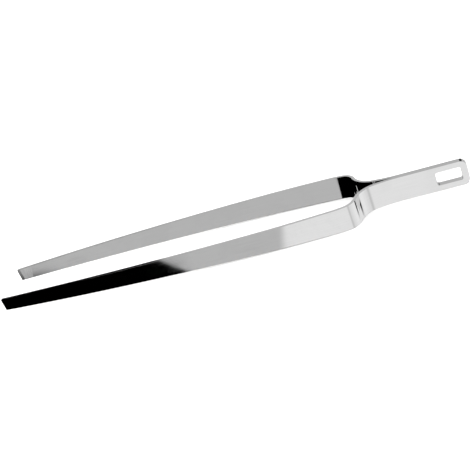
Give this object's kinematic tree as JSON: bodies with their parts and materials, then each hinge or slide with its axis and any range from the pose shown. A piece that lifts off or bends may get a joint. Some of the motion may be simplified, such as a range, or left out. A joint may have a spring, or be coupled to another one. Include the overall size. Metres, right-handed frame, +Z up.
{
  "type": "barbecue tongs",
  "caption": "Long steel barbecue tongs: tapered spring arms joined at a flat handle with a slot for hanging. The arms close when squeezed.",
  "frame": {"origin": "on the ground under the middle of the length, midway between the arms", "axes": "+X from the tips to the end of the handle, +Y across the jaw to the right arm as seen from the handle, +Z up along the strips' width"},
  "size_m": [0.35, 0.0546, 0.0182],
  "materials": {
    "polished_steel": "mirror-polished stainless steel",
    "weld_steel": "fused stainless steel, sealed between the strips"
  },
  "bodies": {
    "handle": {"left_handle_strip": "polished_steel", "right_handle_strip": "polished_steel", "spot_welds": "weld_steel"},
    "left_arm": {"left_blade": "polished_steel"},
    "right_arm": {"right_blade": "polished_steel"}
  },
  "joints": [
    {"name": "left_squeeze", "type": "hinge", "parent": "handle", "child": "left_arm", "pos_m": [0.08279, -0.02236, 0.0091], "axis": [0, 0, -1], "range_deg": [0, 4.17], "stiffness_Nm_per_rad": 39},
    {"name": "right_squeeze", "type": "hinge", "parent": "handle", "child": "right_arm", "pos_m": [0.08279, 0.02236, 0.0091], "axis": [0, 0, 1], "range_deg": [0, 4.17], "stiffness_Nm_per_rad": 39}
  ],
  "couplings": [
    {"joint": "right_squeeze", "follows": "left_squeeze", "ratio": 1}
  ]
}
